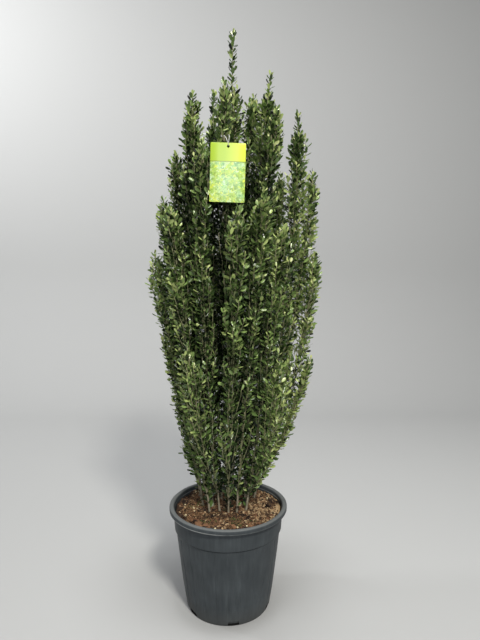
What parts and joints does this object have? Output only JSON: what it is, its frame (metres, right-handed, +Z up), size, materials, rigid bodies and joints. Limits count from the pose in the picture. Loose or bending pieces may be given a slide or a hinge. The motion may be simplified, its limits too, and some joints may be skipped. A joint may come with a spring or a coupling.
{
  "type": "potted japanese holly shrub",
  "caption": "Upright evergreen shrub of many stems with dense narrow columns of small leaves, growing in a tapered nursery pot with a hanging blank picture label.",
  "frame": {"origin": "centre of the pot's flat underside", "axes": "+Z up along the pot's axis and the leading stem; -Y towards the side with the hanging label; +X to the right seen from that side"},
  "size_m": [0.4063, 0.3666, 1.332],
  "materials": {
    "pot": "satin",
    "potting_mix": "matte",
    "bark": "matte",
    "foliage": "satin",
    "label": "satin",
    "label_tie": "matte"
  },
  "bodies": {
    "root": {"bough_back_low_centre": "bark", "bough_back_low_left": "bark", "bough_back_low_right": "bark", "bough_inner_front": "bark", "bough_right_foot": "bark", "bough_right_low": "bark", "foliage_back_centre": "foliage", "foliage_back_left": "foliage", "foliage_back_low_centre": "foliage", "foliage_back_low_left": "foliage", "foliage_back_low_right": "foliage", "foliage_back_right": "foliage", "foliage_far_right": "foliage", "foliage_front_centre": "foliage", "foliage_front_left": "foliage", "foliage_front_right": "foliage", "foliage_inner_front": "foliage", "foliage_leader": "foliage", "foliage_left_back": "foliage", "foliage_left_front": "foliage", "foliage_left_inner": "foliage", "foliage_left_mid": "foliage", "foliage_left_outer": "foliage", "foliage_left_tall": "foliage", "foliage_low_back": "foliage", "foliage_low_front_left": "foliage", "foliage_low_front_right": "foliage", "foliage_low_left": "foliage", "foliage_low_right": "foliage", "foliage_right_foot": "foliage", "foliage_right_front": "foliage", "foliage_right_inner": "foliage", "foliage_right_low": "foliage", "foliage_right_outer": "foliage", "foliage_right_shoulder": "foliage", "foliage_right_tall": "foliage", "label": "label", "label_tie": "label_tie", "pot": "pot", "potting_mix": "potting_mix", "stem_back_centre": "bark", "stem_back_left": "bark", "stem_back_right": "bark", "stem_far_right": "bark", "stem_front_centre": "bark", "stem_front_left": "bark", "stem_front_right": "bark", "stem_leader": "bark", "stem_left_back": "bark", "stem_left_front": "bark", "stem_left_inner": "bark", "stem_left_mid": "bark", "stem_left_outer": "bark", "stem_left_tall": "bark", "stem_right_front": "bark", "stem_right_inner": "bark", "stem_right_outer": "bark", "stem_right_shoulder": "bark", "stem_right_tall": "bark"}
  },
  "joints": []
}
